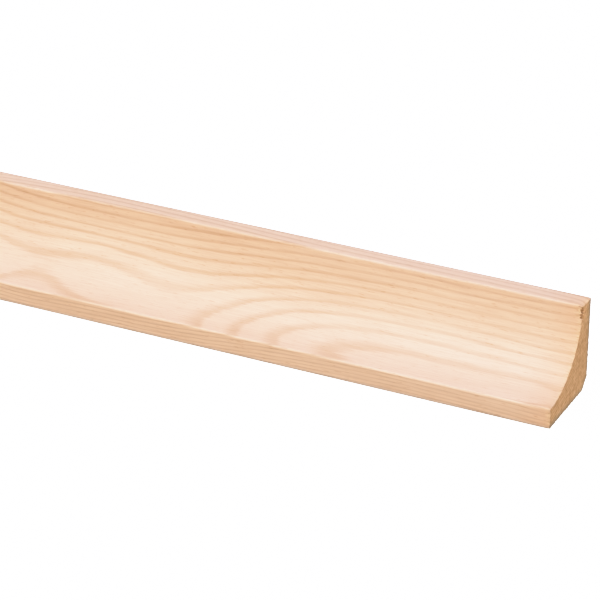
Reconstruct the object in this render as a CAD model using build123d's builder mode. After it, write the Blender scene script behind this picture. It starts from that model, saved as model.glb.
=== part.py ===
"""Cove cornice moulding: one length of planed pine, made as one solid.

The section has two equal legs at a right angle, which go against the wall and the ceiling.
A quarter-round cove runs between the front edges of the legs. The corner behind, where the
two legs meet, is chamfered so that it clears plaster left in the corner of the room.

Frame, in millimetres: X along the moulding, Y towards the wall, Z up. The moulding lies on its
ceiling leg, with the cove facing -Y and up. The origin is under the middle of its box.
"""

import os

from build123d import *

# Driving dimensions
LENGTH = 2400.0  # a common stock length
LEG = 40.0  # height of the wall leg and depth of the ceiling leg
LIP = 9.0  # thickness of each leg at its front edge
BACK_CHAMFER = 5.0  # cut off the corner between the two mounting faces, at 45 degrees
COVE_ARRIS = 1.0  # rounding where the cove meets a lip
OUTER_ARRIS = 0.5  # rounding on the other long edges, as the planer leaves them

# Places that follow from the sizes
WALL_Y = LEG / 2  # plane of the mounting face that goes against the wall
FRONT_Y = -LEG / 2  # plane of the ceiling leg's lip
TOP_Z = LEG  # plane of the wall leg's lip
COVE_RADIUS = LEG - LIP  # a quarter turn, square to both lips


def section_outline():
    """Draws the section's closed outline, from the foot of the chamfer round by the front."""
    chamfer_foot = (WALL_Y - BACK_CHAMFER, 0)
    chamfer_head = (WALL_Y, BACK_CHAMFER)
    front_foot = (FRONT_Y, 0)
    nose = (FRONT_Y, LIP)
    brow = (WALL_Y - LIP, TOP_Z)
    top_back = (WALL_Y, TOP_Z)
    Polyline(chamfer_foot, front_foot, nose)
    RadiusArc(nose, brow, -COVE_RADIUS)
    Polyline(brow, top_back, chamfer_head, chamfer_foot)


with BuildPart() as moulding:
    # X runs along the moulding, so the section is drawn with the sketch's own axes on Y and Z.
    with BuildSketch(Plane.YZ) as section:
        with BuildLine():
            section_outline()
        make_face()
        cove = section.edges().filter_by(GeomType.CIRCLE)
        fillet(cove.vertices(), COVE_ARRIS)
        # The corners that are still sharp are those that no arc touches.
        arcs = section.edges().filter_by(GeomType.CIRCLE)
        fillet(section.vertices() - arcs.vertices(), OUTER_ARRIS)
    extrude(amount=LENGTH / 2, both=True)

moulding.part.label = "cornice_moulding"

os.makedirs("parts", exist_ok=True)
export_step(moulding.part, "parts/cornice_moulding.step")

print(f"section area {section.sketch.area:.1f} mm2, volume {moulding.part.volume / 1e6:.3f} litres")
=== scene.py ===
"""Looks of the cove cornice moulding: planed bare pine with sawn ends.

The planed faces, the eased edges and the torn fibres at the sawn ends are one mesh, which stands for
the CAD node. Its wood is a solid texture of growth rings around a pith that runs outside the section,
so the figure on the cove, the lines on the lips and the rings on the ends belong together.
"""

import math

import bpy
import numpy as np
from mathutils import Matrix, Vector


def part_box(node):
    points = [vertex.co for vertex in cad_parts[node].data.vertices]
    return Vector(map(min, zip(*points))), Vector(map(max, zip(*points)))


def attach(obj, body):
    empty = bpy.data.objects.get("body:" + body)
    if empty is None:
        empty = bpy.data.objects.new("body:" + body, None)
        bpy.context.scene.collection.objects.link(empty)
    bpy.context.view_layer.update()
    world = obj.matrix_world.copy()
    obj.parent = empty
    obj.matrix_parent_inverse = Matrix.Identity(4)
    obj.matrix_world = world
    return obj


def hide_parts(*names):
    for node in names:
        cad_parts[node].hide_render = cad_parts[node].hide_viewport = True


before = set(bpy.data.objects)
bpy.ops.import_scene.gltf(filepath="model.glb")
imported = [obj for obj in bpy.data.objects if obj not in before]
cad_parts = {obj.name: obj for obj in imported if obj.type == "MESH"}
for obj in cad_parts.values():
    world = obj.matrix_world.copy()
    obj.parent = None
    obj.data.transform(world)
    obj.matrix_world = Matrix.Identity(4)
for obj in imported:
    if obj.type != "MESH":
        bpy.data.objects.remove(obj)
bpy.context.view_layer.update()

# Sizes in millimetres, in the row frame, where the moulding lies along X
MM = 0.001
NODE = "cornice_moulding"
lowest, highest = (np.array(corner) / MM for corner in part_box(NODE))
FAR_X, NEAR_X = lowest[0], highest[0]  # the near end is the one that the camera sees
FRONT_Y, WALL_Y = lowest[1], highest[1]
FLOOR_Z, TOP_Z = lowest[2], highest[2]
LENGTH = NEAR_X - FAR_X
LIP = 9.0  # thickness of each leg at its front edge
BACK_CHAMFER = 5.0  # at 45 degrees
COVE_ARRIS = 1.0  # rounding where the cove meets a lip
OUTER_ARRIS = 0.5  # rounding on the other long edges
COVE_RADIUS = TOP_Z - FLOOR_Z - LIP

# Steps of the mesh round the section; the back has as many as the cove, so that a grid can fill the end
ROUND_STEPS = 4  # for half of a rounded corner
COVE_STEPS = 160
LIP_STEPS = 24
FACE_STEPS = (COVE_STEPS - 3 * ROUND_STEPS) // 2  # across each mounting face
# Steps along the length: fine at both ends, where fibres are torn, and coarse between
FIRST_STEP, STEP_GROWTH, LONGEST_STEP = 0.12, 1.25, 40.0

# What the saw and wear took from both ends; places round the section are measured from the brow
SEED = 11
SAW_ROUGHNESS = 0.008  # of the sawn face
RIM_FRAY = 0.2  # how far fibres are nibbled back round the rim
RIM_ROUND, RIM_LENGTH = 0.45, 1.1  # how far the rim is worn down, and how far along the moulding
CHIP_FROM, CHIP_TO = -1.2, 6.4  # the chipped corner under the brow, round the section
CHIP_DEPTH, CHIP_LENGTH = 0.7, 2.4
CHIP_STEEPNESS = 1.5  # of the chip's two sides
FRAY_SHARES, WORN_SHARES, CHIP_SHARES = (-0.3, 1.0), (0.3, 1.0), (0.1, 1.0)  # least and most, by chance

# The tear at the near end, under the brow: where fibres came out, and how deep
TEAR_OUTS = ((0.9, 0.8), (1.9, 1.7), (2.8, 1.1), (4.0, 1.7), (5.1, 1.3))
TEAR_WIDTH, TEAR_LENGTH = 0.42, 0.7  # of each, round the section and along the moulding
TEAR_REACH = 1.5  # into the sawn face
HOLE_WIDTH, HOLE_LENGTH = 0.6, 0.12  # of the painted shade inside a tear, round the section and along the moulding
PIT_FROM_END, PIT_FROM_BROW, PIT_SIZE, PIT_DEPTH = 1.6, 0.3, 0.4, 0.5
LIP_WORN, WORN_FROM_BROW, WORN_WIDTH = 0.8, -3.4, 2.8  # extra wear of the upper lip, beside the brow

# Marks on the mesh that the material reads: splintered wood, painted shade in the holes that fibres left,
# and painted shade on the edges
TORN, HOLE_SHADE, SHADED_EDGES = "torn", "gap", "edge_shade"
RIM_TORN = 0.8  # of the worn rim, where the chipped corner has 1
ARRIS_SHADE = 0.8  # painted shade of the long edges, where the back of a sawn end has 1
SHADE_REACH, END_SHADE_REACH = 0.9, 2.0  # how far the painted shade reaches from an edge, on the long faces and on the ends

# The map that textures are baked on: two strips of half the length each, with the ends above them
BAKE_MAP = "OFBake"
STRIP_HEIGHT, MAP_GAP = 0.43, 0.006


def arc(centre, radius, start, end, steps):
    """Points of an arc from start to end, in degrees, without its last point."""
    turn = np.radians(np.linspace(start, end, steps + 1)[:-1])
    return np.array(centre) + radius * np.stack([np.cos(turn), np.sin(turn)], -1)


def line(start, end, steps):
    """Evenly spaced points from start to end, without the last."""
    share = np.linspace(0, 1, steps + 1)[:-1, None]
    return np.array(start) * (1 - share) + np.array(end) * share


def section_chains():
    """The section's outline in Y and Z as four chains of points, anticlockwise as seen from +X.

    Each chain runs from the middle of one rounded corner to the middle of the next: the cove, the
    front lip, the back (both mounting faces and the chamfer) and the upper lip.
    """
    cove_centre = (FRONT_Y, TOP_Z)
    drop = math.sqrt((COVE_RADIUS + COVE_ARRIS) ** 2 - COVE_ARRIS**2)
    brow = (FRONT_Y + drop, TOP_Z - COVE_ARRIS)
    nose = (FRONT_Y + COVE_ARRIS, TOP_Z - drop)
    lean = math.degrees(math.atan2(COVE_ARRIS, drop))
    half = (90 - lean) / 2

    r = OUTER_ARRIS
    foot = (FRONT_Y + r, FLOOR_Z + r)
    crown = (WALL_Y - r, TOP_Z - r)
    setback = r * math.tan(math.radians(45 / 2))
    chamfer_foot = (WALL_Y - BACK_CHAMFER - setback, FLOOR_Z + r)
    chamfer_head = (WALL_Y - r, FLOOR_Z + BACK_CHAMFER + setback)
    slope = r * math.sqrt(0.5)
    chamfer_start = (chamfer_foot[0] + slope, chamfer_foot[1] - slope)
    chamfer_end = (chamfer_head[0] + slope, chamfer_head[1] - slope)

    cove = [
        arc(brow, COVE_ARRIS, 90 + half, 180 - lean, ROUND_STEPS),
        arc(cove_centre, COVE_RADIUS, -lean, lean - 90, COVE_STEPS),
        arc(nose, COVE_ARRIS, 90 + lean, 180 - half, ROUND_STEPS),
    ]
    front = [
        arc(nose, COVE_ARRIS, 180 - half, 180, ROUND_STEPS),
        line((FRONT_Y, nose[1]), (FRONT_Y, foot[1]), LIP_STEPS),
        arc(foot, r, 180, 225, ROUND_STEPS),
    ]
    back = [
        arc(foot, r, 225, 270, ROUND_STEPS),
        line((foot[0], FLOOR_Z), (chamfer_foot[0], FLOOR_Z), FACE_STEPS),
        arc(chamfer_foot, r, -90, -45, ROUND_STEPS),
        line(chamfer_start, chamfer_end, ROUND_STEPS),
        arc(chamfer_head, r, -45, 0, ROUND_STEPS),
        line((WALL_Y, chamfer_head[1]), (WALL_Y, crown[1]), FACE_STEPS),
        arc(crown, r, 0, 45, ROUND_STEPS),
    ]
    upper = [
        arc(crown, r, 45, 90, ROUND_STEPS),
        line((crown[0], TOP_Z), (brow[0], TOP_Z), LIP_STEPS),
        arc(brow, COVE_ARRIS, 90, 90 + half, ROUND_STEPS),
    ]
    return [np.concatenate(chain) for chain in (cove, front, back, upper)]


def end_grid(loop, along, across):
    """Fills an outline with a grid of points between its four chains.

    Returns the points and, for those on the border, their numbers in the outline.
    """
    number = np.append(np.arange(len(loop)), 0)
    a, b, c = along, along + across, 2 * along + across
    sides = number[: a + 1], number[b : c + 1][::-1], number[c:][::-1], number[a : b + 1]
    cove, back, upper, front = (loop[side] for side in sides)
    u = np.linspace(0, 1, along + 1)[:, None, None]
    v = np.linspace(0, 1, across + 1)[None, :, None]
    ruled = (1 - v) * cove[:, None] + v * back[:, None] + (1 - u) * upper[None] + u * front[None]
    square = (1 - u) * ((1 - v) * cove[0] + v * back[0]) + u * ((1 - v) * cove[-1] + v * back[-1])
    border = np.full((along + 1, across + 1), -1)
    border[:, 0], border[:, -1], border[0], border[-1] = sides
    return ruled - square, border


def quads(grid):
    """The four corners of each cell of a grid."""
    corners = np.stack([grid[:-1, :-1], grid[1:, :-1], grid[1:, 1:], grid[:-1, 1:]], 2)
    return corners.reshape(-1, *corners.shape[2:])


def stations():
    """Distances from the near end at which the section is repeated."""
    near, step = [0.0], FIRST_STEP
    while near[-1] + step < LENGTH / 2 - LONGEST_STEP:
        near.append(near[-1] + step)
        step = min(step * STEP_GROWTH, LONGEST_STEP)
    return np.concatenate([near, [LENGTH / 2], LENGTH - np.array(near[::-1])])


def outward(loop):
    """Unit normals of the outline."""
    along = np.roll(loop, -1, 0) - np.roll(loop, 1, 0)
    normal = np.stack([along[:, 1], -along[:, 0]], -1)
    return normal / np.linalg.norm(normal, axis=1, keepdims=True)


def round_section(loop):
    """Distance of each point along the outline, from the brow, with the whole length round as the last."""
    step = np.linalg.norm(np.roll(loop, -1, 0) - loop, axis=1)
    return np.append(0, np.cumsum(step))


def hump(away, reach):
    """One at no distance, and next to nothing beyond twice the reach."""
    return np.exp(-((away / reach) ** 2))


def edge_shading(loop):
    """How much painted shade each point of the outline gets: most on the edges between the flat outer
    faces.
    """
    corners = [
        (WALL_Y, TOP_Z),
        (WALL_Y, FLOOR_Z + BACK_CHAMFER),
        (WALL_Y - BACK_CHAMFER, FLOOR_Z),
        (FRONT_Y, FLOOR_Z),
    ]
    away = np.linalg.norm(loop[:, None] - np.array(corners), axis=-1).min(1)
    return ARRIS_SHADE * hump(away, SHADE_REACH)


class SawnEnd:
    """How the saw left the end at x, for each point of the outline. Inward is -1 or 1, along X."""

    def __init__(self, x, inward, loop, rng):
        self.x, self.inward = x, inward
        way = round_section(loop)
        self.from_brow = np.where(way[:-1] < way[-1] / 2, way[:-1], way[:-1] - way[-1])
        nibble = rng.uniform(*FRAY_SHARES, len(loop))
        nibble = nibble / 2 + (np.roll(nibble, 1) + np.roll(nibble, -1)) / 4
        self.pulled = RIM_FRAY * nibble
        self.worn = RIM_ROUND * rng.uniform(*WORN_SHARES, len(loop))
        middle, reach = (CHIP_FROM + CHIP_TO) / 2, (CHIP_TO - CHIP_FROM) / 2
        self.chip = np.clip(CHIP_STEEPNESS * (1 - np.abs(self.from_brow - middle) / reach), 0, 1)
        self.sunk = CHIP_DEPTH * self.chip * rng.uniform(*CHIP_SHARES, len(loop))
        self.gap, self.pit = np.zeros((2, len(loop)))

    def tear(self):
        """Takes fibres out under the brow, with a pit and a worn lip beside them."""
        for where, deep in TEAR_OUTS:
            self.pulled += deep * hump(self.from_brow - where, TEAR_WIDTH)
            # Painted shade in the hole that each tear leaves
            self.gap += deep * hump(self.from_brow - where, HOLE_WIDTH)
        self.pit += hump(self.from_brow - PIT_FROM_BROW, PIT_SIZE)
        self.worn += LIP_WORN * hump(self.from_brow - WORN_FROM_BROW, WORN_WIDTH)


def long_faces(loop, on_back, place, ends):
    """The outline at each station, worn and torn towards both ends, and the marks on its points."""
    x = np.repeat((NEAR_X - place)[:, None], len(loop), 1)
    sunk, torn, gap = np.zeros((3, *x.shape))
    for end, away in zip(ends, (place, place[::-1])):
        away = away[:, None]
        rim = np.exp(-away / RIM_LENGTH)
        corner = hump(away, CHIP_LENGTH)
        pit = hump(away - PIT_FROM_END, PIT_SIZE) * end.pit
        x += end.inward * np.exp(-away / TEAR_LENGTH) * end.pulled
        sunk += rim * end.worn + corner * end.sunk + PIT_DEPTH * pit
        torn += np.maximum(RIM_TORN * rim, corner * end.chip)
        # Painted shade in the tear holes and in the pit
        gap += np.exp(-away / HOLE_LENGTH) * end.gap + pit
    from_end = np.minimum(place, LENGTH - place)[:, None]
    # Painted shade on the long edges, and on the back faces near both ends
    edge_shade = np.maximum(edge_shading(loop), on_back * hump(from_end, SHADE_REACH))
    yz = loop - sunk[..., None] * outward(loop)
    return np.concatenate([x[..., None], yz], -1), {TORN: torn, HOLE_SHADE: gap, SHADED_EDGES: edge_shade}


def sawn_face(end, rim, along, across, rng):
    """A grid of points over one end, their numbers on the rim, and the marks on them."""
    grid, border = end_grid(rim, along, across)
    by_cove = hump(np.linalg.norm(grid - grid[:, :1], axis=-1), TEAR_REACH)
    # Painted shade on the sawn face, darkest towards its back edge
    by_back = hump(np.linalg.norm(grid - grid[:, -1:], axis=-1), END_SHADE_REACH)
    on_cove = border[:, :1]
    depth = end.pulled[on_cove] * by_cove + SAW_ROUGHNESS * rng.standard_normal(border.shape)
    points = np.concatenate([(end.x + end.inward * depth)[..., None], grid], -1)
    # The tear holes' painted shade reaches into the sawn face by the cove
    marks = {TORN: np.zeros(border.shape), HOLE_SHADE: end.gap[on_cove] * by_cove, SHADED_EDGES: by_back}
    return points, border, marks


def side_map(place, way):
    """Places on the map for each corner of the long faces: the length in two strips, one over the other."""
    half = len(place) // 2
    strips = []
    for number, rows in enumerate((slice(0, half + 1), slice(half, None))):
        u = (place[rows] - place[rows][0]) / (LENGTH / 2)
        v = number * (STRIP_HEIGHT + MAP_GAP) + STRIP_HEIGHT * way / way[-1]
        strips.append(quads(np.stack(np.meshgrid(u, v, indexing="ij"), -1)))
    return np.concatenate(strips)


def end_map(yz, slot):
    """Places on the map for the points of an end, in the left or right slot above the strips."""
    size = np.array([WALL_Y - FRONT_Y, TOP_Z - FLOOR_Z])
    share = (yz - (FRONT_Y, FLOOR_Z)) / size
    top = 2 * (STRIP_HEIGHT + MAP_GAP)
    width = (1 - MAP_GAP) / 2
    corner = np.array([slot * (width + MAP_GAP), top])
    return corner + share * (width, 1 - top)


def moulding_mesh():
    """One closed mesh: the outline swept along the stations, with a grid over each end."""
    rng = np.random.default_rng(SEED)
    chains = section_chains()
    loop = np.concatenate(chains)
    on_back = np.repeat([0, 0, 1, 0], [len(chain) for chain in chains])
    place = stations()
    near_end = SawnEnd(NEAR_X, -1, loop, rng)
    far_end = SawnEnd(FAR_X, 1, loop, rng)
    near_end.tear()

    points, marks = long_faces(loop, on_back, place, (near_end, far_end))
    ring = np.arange(len(place) * len(loop)).reshape(len(place), -1)
    vertices = [points.reshape(-1, 3)]
    faces = [quads(np.append(ring, ring[:, :1], axis=1))]
    maps = [side_map(place, round_section(loop))]
    values = {name: [mark.ravel()] for name, mark in marks.items()}

    total = ring.size
    for slot, (end, row) in enumerate(((near_end, 0), (far_end, -1))):
        grid, border, marks = sawn_face(end, points[row, :, 1:], len(chains[0]), len(chains[1]), rng)
        inner = border < 0
        number = ring[row][border]
        number[inner] = total + np.arange(inner.sum())
        total += inner.sum()
        vertices.append(grid[inner])
        faces.append(quads(number)[:, :: -end.inward])
        maps.append(quads(end_map(grid[..., 1:], slot))[:, :: -end.inward])
        for name, mark in marks.items():
            values[name].append(mark[inner])

    mesh = bpy.data.meshes.new("cornice_moulding_wood")
    mesh.from_pydata((np.concatenate(vertices) * MM).tolist(), [], np.concatenate(faces).tolist())
    on_long_face = np.arange(len(mesh.polygons)) < len(faces[0])
    mesh.polygons.foreach_set("use_smooth", on_long_face)
    for name, parts in values.items():
        mesh.attributes.new(name, "FLOAT", "POINT").data.foreach_set("value", np.concatenate(parts))
    layer = mesh.uv_layers.new(name=BAKE_MAP)
    layer.uv.foreach_set("vector", np.concatenate([part.reshape(-1, 2) for part in maps]).ravel())
    return mesh


class Graph:
    """Makes the nodes of a material or world. An input is a plain value or another node's output."""

    def __init__(self, owner, shader):
        owner.use_nodes = True
        self.owner = owner
        self.tree = owner.node_tree
        self.shader = self.tree.nodes[shader]

    def feed(self, socket, value):
        if isinstance(value, bpy.types.NodeSocket):
            self.tree.links.new(value, socket)
        else:
            socket.default_value = value

    def node(self, kind, inputs, **settings):
        made = self.tree.nodes.new("ShaderNode" + kind)
        for name, value in settings.items():
            setattr(made, name, value)
        for place, value in inputs.items():
            self.feed(made.inputs[place], value)
        return made

    def math(self, operation, *values):
        return self.node("Math", dict(enumerate(values)), operation=operation).outputs[0]

    def vector(self, operation, *values):
        return self.node("VectorMath", dict(enumerate(values)), operation=operation)

    def part(self, vector, axis):
        return self.node("SeparateXYZ", {0: vector}).outputs[axis]

    def mark(self, name):
        """A mark on the mesh."""
        return self.node("Attribute", {}, attribute_name=name).outputs["Fac"]

    def mapped(self, vector, scale, move=(0, 0, 0)):
        return self.node("Mapping", {"Vector": vector, "Scale": scale, "Location": move}).outputs[0]

    def noise(self, coords, size, detail=2.0, crispness=0.5):
        """Noise from 0 to 1, with patches of the given size in mm along the grain and across it.

        Across, the size is the same out from the wall and up, unless there are three sizes.
        """
        along, out, up = size if len(size) == 3 else (*size, size[1])
        vector = self.mapped(coords, (1 / along, 1 / out, 1 / up))
        inputs = {"Vector": vector, "Scale": 1.0, "Detail": detail, "Roughness": crispness}
        return self.node("TexNoise", inputs).outputs["Fac"]

    def between(self, value, low, high, to_low=0.0, to_high=1.0):
        """A smooth step from to_low at low to to_high at high."""
        inputs = {0: value, 1: low, 2: high, 3: to_low, 4: to_high}
        return self.node("MapRange", inputs, interpolation_type="SMOOTHSTEP").outputs[0]

    def mix(self, share, a, b, blend="MIX"):
        made = self.node("Mix", {0: share, 6: a, 7: b}, data_type="RGBA", blend_type=blend)
        return made.outputs[2]

    def tint(self, colour, share, low, high):
        """Multiplies a colour by one that goes from low to high with the share."""
        return self.mix(1.0, colour, self.mix(share, low, high), "MULTIPLY")


# The log, in mm: along the moulding from its near end, out from the wall plane, up from the floor
PITH_Y, PITH_Z = -64.4, 80.3
# Each wave of the pith's path: its length, then its amount and phase in Y and in Z
PITH_WAVES = ((700.0, (20.3, 0.41), (4.1, 0.86)), (297.0, (4.8, 1.71), (2.7, 0.29)))
RING_WIDTH = 1.63
RING_RADIUS = 80.0  # where the rings have that width; they are wider towards the pith
RING_NARROWING = 0.013
RING_OFFSET = 4.24
# Swellings and hollows of the rings: middle, height, and reach along and across the grain
SWELLINGS = (
    ((4.0, -33.0, 10.0), 1.6, 32.0, 12.0),
    ((165.0, -31.0, 13.0), -1.75, 33.0, 21.0),
    ((219.0, -14.0, 21.0), 2.25, 40.0, 15.0),
    ((240.0, -43.0, 21.0), -3.0, 17.0, 15.0),
    ((760.0, -20.0, 18.0), 2.2, 45.0, 18.0),
    ((1240.0, -30.0, 12.0), -1.8, 60.0, 20.0),
    ((1830.0, -24.0, 14.0), 2.0, 35.0, 16.0),
)
# Shares of a year's ring in which the dark late wood comes slowly, and ends at once
LATE_COMES, LATE_ENDS = (0.60, 0.95), (0.0, 0.15)
YEAR_CHANGE = 0.6  # how fast one year comes to differ from the next
YEAR_STRENGTH, FADE_STRENGTH = (0.85, 1.05), (0.8, 1.1)  # of the late wood, by year and by place

# Patches of the wood's irregularities in mm, along the grain and across it
WANDER, WANDER_AMOUNT = (35.0, 8.0), 0.4  # rings that bend
FEATHER, FEATHER_AMOUNT = (25.0, 0.6), 0.5  # fibres that end sooner or later than their neighbours
PATCH = (120.0, 16.0)  # paler and darker parts of the board
FADE = (60.0, 5.0)  # lines that come and go
FIBRE, FIBRE_DETAIL, FIBRE_CRISPNESS = (16.0, 0.3, 0.8), 4.0, 0.6
DASH = (4.0, 0.3, 0.6)  # resin canals
SPLINTER = (1.6, 0.4)
PORE, PORE_DETAIL, PORE_CRISPNESS = (6.0, 2.2), 3.0, 0.7  # seen on the ends
SAW_MARK, MARK_DETAIL = (30.0, 25.0, 0.7), 3.0  # across the ends
NOISE_MIDDLE = 0.5
# Lengths of the board that differ from the rest
PALE_END, FAINTEST = (20.0, 170.0), 0.8  # towards the near end the wood is paler, with fainter lines
DRIED_END = (0.0, 17.0)  # this near to an end the wood has dried faster, and is warmer in colour

# The noise or mark at which a tint starts, and at which it is full
USUAL_NOISE = (0.3, 0.7)
FIBRE_NOISE, CANAL_NOISE, SPLINTER_NOISE = (0.25, 0.75), (0.6, 0.74), (0.35, 0.6)
# Where the painted shade in the holes starts, and where it is full
HOLE_SHADE_RANGE = (0.3, 0.9)
END_FACING = (0.45, 0.85)  # how far a face is turned to an end

# Colours, and the tints that multiply them
WHITE = (1, 1, 1, 1)
EARLYWOOD = (0.85, 0.58, 0.415, 1)
LATEWOOD = (0.72, 0.467, 0.298, 1)
PALEST = (1.0, 1.015, 1.045, 1)
DRIED = (0.98, 0.92, 0.86, 1)
DARK_PATCH, PALE_PATCH = (0.97, 0.955, 0.93, 1), (1.03, 1.04, 1.06, 1)
DARK_FIBRE, PALE_FIBRE = (0.925, 0.91, 0.885, 1), (1.055, 1.06, 1.075, 1)
CANAL = (0.86, 0.80, 0.70, 1)
DARK_SPLINTER, PALE_SPLINTER = (0.85, 0.86, 0.78, 1), (0.98, 1.04, 0.98, 1)
# Painted shade in the tear holes and the pit
HOLE_SHADE_COLOUR = (0.48, 0.41, 0.32, 1)
# Painted shade on the back and lower edges and on the back of the ends
EDGE_SHADE_COLOUR = (0.50, 0.61, 0.80, 1)
END_EARLYWOOD, END_LATEWOOD = (0.635, 0.57, 0.455, 1), (0.56, 0.48, 0.36, 1)
DARK_PORE, PALE_PORE = (0.84, 0.80, 0.72, 1), (1.14, 1.18, 1.24, 1)
DARK_MARK, PALE_MARK = (0.95, 0.94, 0.92, 1), (1.04, 1.05, 1.06, 1)

# Relief in mm, and roughness of the hollows between fibres, of the fibres and of the ends
RING_RELIEF, FIBRE_RELIEF, SPLINTER_RELIEF = 0.012, 0.03, 0.12
PORE_RELIEF, MARK_RELIEF = 0.08, 0.02
HOLLOW_ROUGHNESS, FIBRE_ROUGHNESS, END_ROUGHNESS = 0.62, 0.5, 0.85
ROUGHNESS_NOISE = (0.2, 0.8)


def log_coordinates(g):
    """Object coordinates in mm, measured along the grain from the near end."""
    place = g.node("TexCoord", {}).outputs["Object"]
    return g.mapped(place, (-1 / MM, 1 / MM, 1 / MM), (NEAR_X, -WALL_Y, -FLOOR_Z))


def ring_count(g, coords):
    """The growth rings' number at each place, counted outward; a whole number is the end of a year."""
    split = g.node("SeparateXYZ", {0: coords}).outputs
    across = []
    for axis, middle in ((1, PITH_Y), (2, PITH_Z)):
        offset = g.math("SUBTRACT", split[axis], middle)
        for wave in PITH_WAVES:
            amount, phase = wave[axis]
            turn = g.math("MULTIPLY_ADD", split[0], math.tau / wave[0], phase)
            offset = g.math("MULTIPLY_ADD", g.math("SINE", turn), -amount, offset)
        across.append(offset)
    flat = g.node("CombineXYZ", {1: across[0], 2: across[1]}).outputs[0]
    radius = g.vector("LENGTH", flat).outputs["Value"]
    for middle, height, along, wide in SWELLINGS:
        away = g.vector("SUBTRACT", coords, middle).outputs[0]
        away = g.vector("DIVIDE", away, (along, wide, wide)).outputs[0]
        square = g.vector("DOT_PRODUCT", away, away).outputs["Value"]
        swelling = g.math("EXPONENT", g.math("MULTIPLY", square, -1.0))
        radius = g.math("MULTIPLY_ADD", swelling, height, radius)
    for size, amount in ((WANDER, WANDER_AMOUNT), (FEATHER, FEATHER_AMOUNT)):
        wander = g.math("SUBTRACT", g.noise(coords, size), NOISE_MIDDLE)
        radius = g.math("MULTIPLY_ADD", wander, amount, radius)
    t = g.math("DIVIDE", g.math("SUBTRACT", radius, RING_RADIUS), RING_WIDTH)
    growth = g.math("MULTIPLY_ADD", t, RING_NARROWING, 1.0)
    return g.math("MULTIPLY_ADD", t, growth, RING_OFFSET)


def latewood(g, coords):
    """How much of the dark wood of late summer there is: it comes slowly and ends at once."""
    rings = ring_count(g, coords)
    phase = g.math("FRACT", rings)
    late = g.math("MAXIMUM", g.between(phase, *LATE_COMES), g.between(phase, *LATE_ENDS, 1.0, 0.0))
    year = {"W": g.math("MULTIPLY", rings, YEAR_CHANGE), "Scale": 1.0}
    year = g.node("TexNoise", year, noise_dimensions="1D").outputs["Fac"]
    late = g.math("MULTIPLY", late, g.between(year, *USUAL_NOISE, *YEAR_STRENGTH))
    return g.math("MULTIPLY", late, g.between(g.noise(coords, FADE), *USUAL_NOISE, *FADE_STRENGTH))


def pine():
    """Planed pine, with rings, fine fibres and resin canals, and darker, rougher end grain."""
    g = Graph(bpy.data.materials.new("pine"), "Principled BSDF")
    coords = log_coordinates(g)
    along = g.part(coords, 0)
    inside = g.between(along, *PALE_END)
    late = g.math("MULTIPLY", latewood(g, coords), g.between(inside, 0.0, 1.0, FAINTEST, 1.0))
    wood = g.mix(late, EARLYWOOD, LATEWOOD)
    wood = g.tint(wood, inside, PALEST, WHITE)
    wood = g.tint(wood, g.between(g.noise(coords, PATCH), *USUAL_NOISE), DARK_PATCH, PALE_PATCH)

    fibre = g.noise(coords, FIBRE, FIBRE_DETAIL, FIBRE_CRISPNESS)
    planed = g.tint(wood, g.between(fibre, *FIBRE_NOISE), DARK_FIBRE, PALE_FIBRE)
    planed = g.tint(planed, g.between(g.noise(coords, DASH), *CANAL_NOISE), WHITE, CANAL)
    from_end = g.math("MINIMUM", along, g.math("SUBTRACT", LENGTH, along))
    planed = g.tint(planed, g.between(from_end, *DRIED_END), DRIED, WHITE)
    torn = g.mark(TORN)
    splinter = g.between(g.noise(coords, SPLINTER), *SPLINTER_NOISE)
    planed = g.mix(torn, planed, g.tint(planed, splinter, DARK_SPLINTER, PALE_SPLINTER))

    pore = g.between(g.noise(coords, PORE, PORE_DETAIL, PORE_CRISPNESS), *USUAL_NOISE)
    mark = g.between(g.noise(coords, SAW_MARK, MARK_DETAIL), *USUAL_NOISE)
    sawn = g.tint(wood, late, END_EARLYWOOD, END_LATEWOOD)
    sawn = g.tint(sawn, mark, DARK_MARK, PALE_MARK)
    sawn = g.tint(sawn, pore, DARK_PORE, PALE_PORE)

    facing = g.part(g.node("NewGeometry", {}).outputs["Normal"], 0)
    is_end = g.between(g.math("ABSOLUTE", facing), *END_FACING)
    is_face = g.math("SUBTRACT", 1.0, is_end)
    colour = g.mix(is_end, planed, sawn)
    # Painted shade in the tear holes and the pit
    colour = g.tint(colour, g.between(g.mark(HOLE_SHADE), *HOLE_SHADE_RANGE), WHITE, HOLE_SHADE_COLOUR)
    # Painted shade on the edges
    colour = g.tint(colour, g.mark(SHADED_EDGES), WHITE, EDGE_SHADE_COLOUR)

    roughness = g.between(fibre, *ROUGHNESS_NOISE, HOLLOW_ROUGHNESS, FIBRE_ROUGHNESS)
    roughness = g.math("MAXIMUM", roughness, g.math("MULTIPLY", is_end, END_ROUGHNESS))
    relief = g.math("MULTIPLY", late, RING_RELIEF)
    for shape, where, height in (
        (fibre, is_face, FIBRE_RELIEF),
        (pore, is_end, PORE_RELIEF),
        (mark, is_end, MARK_RELIEF),
        (splinter, torn, SPLINTER_RELIEF),
    ):
        relief = g.math("MULTIPLY_ADD", g.math("MULTIPLY", shape, where), height, relief)
    bump = g.node("Bump", {"Height": relief, "Strength": 1.0, "Distance": MM})
    g.feed(g.shader.inputs["Base Color"], colour)
    g.feed(g.shader.inputs["Roughness"], roughness)
    g.feed(g.shader.inputs["Normal"], bump.outputs[0])
    return g.owner


def make_moulding():
    """Puts the wood in place of the CAD node."""
    wood = bpy.data.objects.new("cornice_moulding_wood", moulding_mesh())
    bpy.context.scene.collection.objects.link(wood)
    wood.data.materials.append(pine())
    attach(wood, "root")
    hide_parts(NODE)


FLOOR_REACH = 30.0  # in metres, each way, with walls as high round it
FLOOR_COLOUR = (0.5, 0.5, 0.5, 1)
FLOOR_ROUGHNESS = 0.9
FLOOR_GLOW = 1.6  # a light table, on which shadows stay pale


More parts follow.
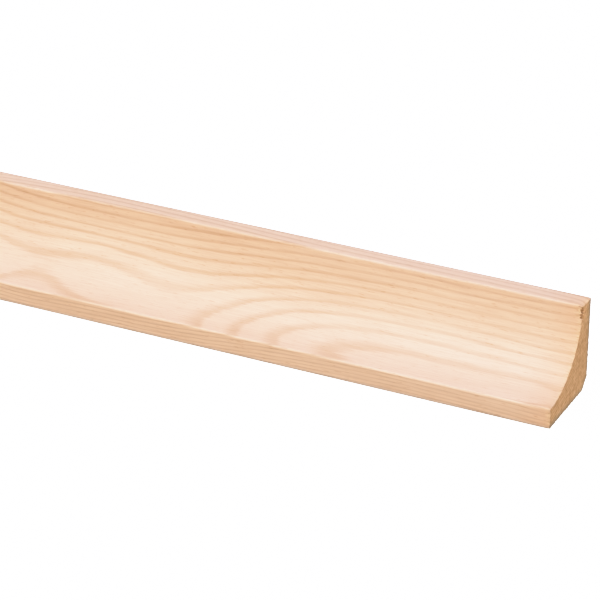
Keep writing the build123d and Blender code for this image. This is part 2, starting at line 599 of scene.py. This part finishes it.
def make_floor():
    """A plain pale floor, with walls far round it."""
    square = ((-1, -1), (1, -1), (1, 1), (-1, 1))
    corners = [(x * FLOOR_REACH, y * FLOOR_REACH, up * FLOOR_REACH) for up in (0, 1) for x, y in square]
    walls = [(k, (k + 1) % 4, (k + 1) % 4 + 4, k + 4) for k in range(4)]
    mesh = bpy.data.meshes.new("floor")
    mesh.from_pydata(corners, [], [(0, 1, 2, 3), *walls])
    g = Graph(bpy.data.materials.new("floor"), "Principled BSDF")
    g.shader.inputs["Base Color"].default_value = FLOOR_COLOUR
    g.shader.inputs["Roughness"].default_value = FLOOR_ROUGHNESS
    g.shader.inputs["Emission Color"].default_value = WHITE
    g.shader.inputs["Emission Strength"].default_value = FLOOR_GLOW
    mesh.materials.append(g.owner)
    floor = bpy.data.objects.new("floor", mesh)
    # Only the camera sees the floor: it neither lights the moulding nor shades it.
    floor.visible_diffuse = False
    floor.visible_glossy = False
    floor.visible_shadow = False
    bpy.context.scene.collection.objects.link(floor)


# Light: two soft lamps in front, and a pale reflector that lies behind, for the sides turned from them
WORLD_STRENGTH, BOUNCE_STRENGTH = 0.1, 2.4
BOUNCE_FROM = (-0.5, 0.7, -0.5)
BOUNCE_EDGE = (0.5, 0.9)  # how closely a direction agrees with it, at the reflector's rim and well inside
# Each lamp: where it shines from, how wide it is in degrees, its strength and colour
LAMPS = {
    "key": ((-0.30, -0.23, 0.93), 60.0, 3.05, (0.731, 0.772, 1.0)),
    "fill": ((0.80, -0.575, 0.165), 90.0, 3.69, (1.0, 0.891, 0.687)),
}


def make_light():
    """The lamps, and the reflector as the bright side of the world."""
    scene = bpy.context.scene
    g = Graph(bpy.data.worlds.new("studio"), "Background")
    toward = g.vector("DOT_PRODUCT", g.node("TexCoord", {}).outputs["Generated"], BOUNCE_FROM)
    strength = g.between(toward.outputs["Value"], *BOUNCE_EDGE, WORLD_STRENGTH, BOUNCE_STRENGTH)
    g.feed(g.shader.inputs["Color"], WHITE)
    g.feed(g.shader.inputs["Strength"], strength)
    scene.world = g.owner
    for name, (shines_from, width, strength, colour) in LAMPS.items():
        lamp = bpy.data.lights.new(name, "SUN")
        lamp.energy = strength
        lamp.color = colour
        lamp.angle = math.radians(width)
        holder = bpy.data.objects.new(name, lamp)
        holder.rotation_euler = Vector(shines_from).to_track_quat("Z", "Y").to_euler()
        scene.collection.objects.link(holder)


# The camera's response: straight at first, with a soft shoulder where bright wood would burn out
SHOULDER = 0.7
FULL_WHITE = 3.0
RESPONSE_STEPS = (0.35, 0.7, 0.85, 1.0, 1.2, 1.5, 2.0)
ALL_CHANNELS = 3  # the curve that red, green and blue share


def response(light):
    """How bright the picture is where the scene has that much light."""
    spare = 1 - SHOULDER
    return light if light < SHOULDER else 1 - spare * math.exp((SHOULDER - light) / spare)


def make_response():
    """Gives the picture that response."""
    view = bpy.context.scene.view_settings
    view.view_transform = "Standard"
    view.use_curve_mapping = True
    view.curve_mapping.white_level = (FULL_WHITE, FULL_WHITE, FULL_WHITE)
    for light in RESPONSE_STEPS:
        view.curve_mapping.curves[ALL_CHANNELS].points.new(light / FULL_WHITE, response(light))
    view.curve_mapping.update()


# Camera, measured on the photograph
IMAGE_PX = 600
FOCAL_PX = 2755.3
SENSOR_MM = 36.0
AZIMUTH, ELEVATION = math.radians(26.536), math.radians(26.641)
FROM_NEAR_CORNER = (332.28, -923.34, 527.54)  # mm from the near end's corner at the wall plane and floor


def make_camera():
    """Stands the camera where the photograph was taken from."""
    data = bpy.data.cameras.new("camera")
    data.sensor_width = SENSOR_MM
    data.lens = SENSOR_MM * FOCAL_PX / IMAGE_PX
    camera = bpy.data.objects.new("camera", data)
    corner = Vector((NEAR_X, WALL_Y, FLOOR_Z))
    camera.location = (corner + Vector(FROM_NEAR_CORNER)) * MM
    level = math.cos(ELEVATION)
    ahead = Vector((-math.sin(AZIMUTH) * level, math.cos(AZIMUTH) * level, -math.sin(ELEVATION)))
    camera.rotation_euler = ahead.to_track_quat("-Z", "Y").to_euler()
    bpy.context.scene.collection.objects.link(camera)
    bpy.context.scene.camera = camera


make_moulding()
make_floor()
make_light()
make_response()
make_camera()
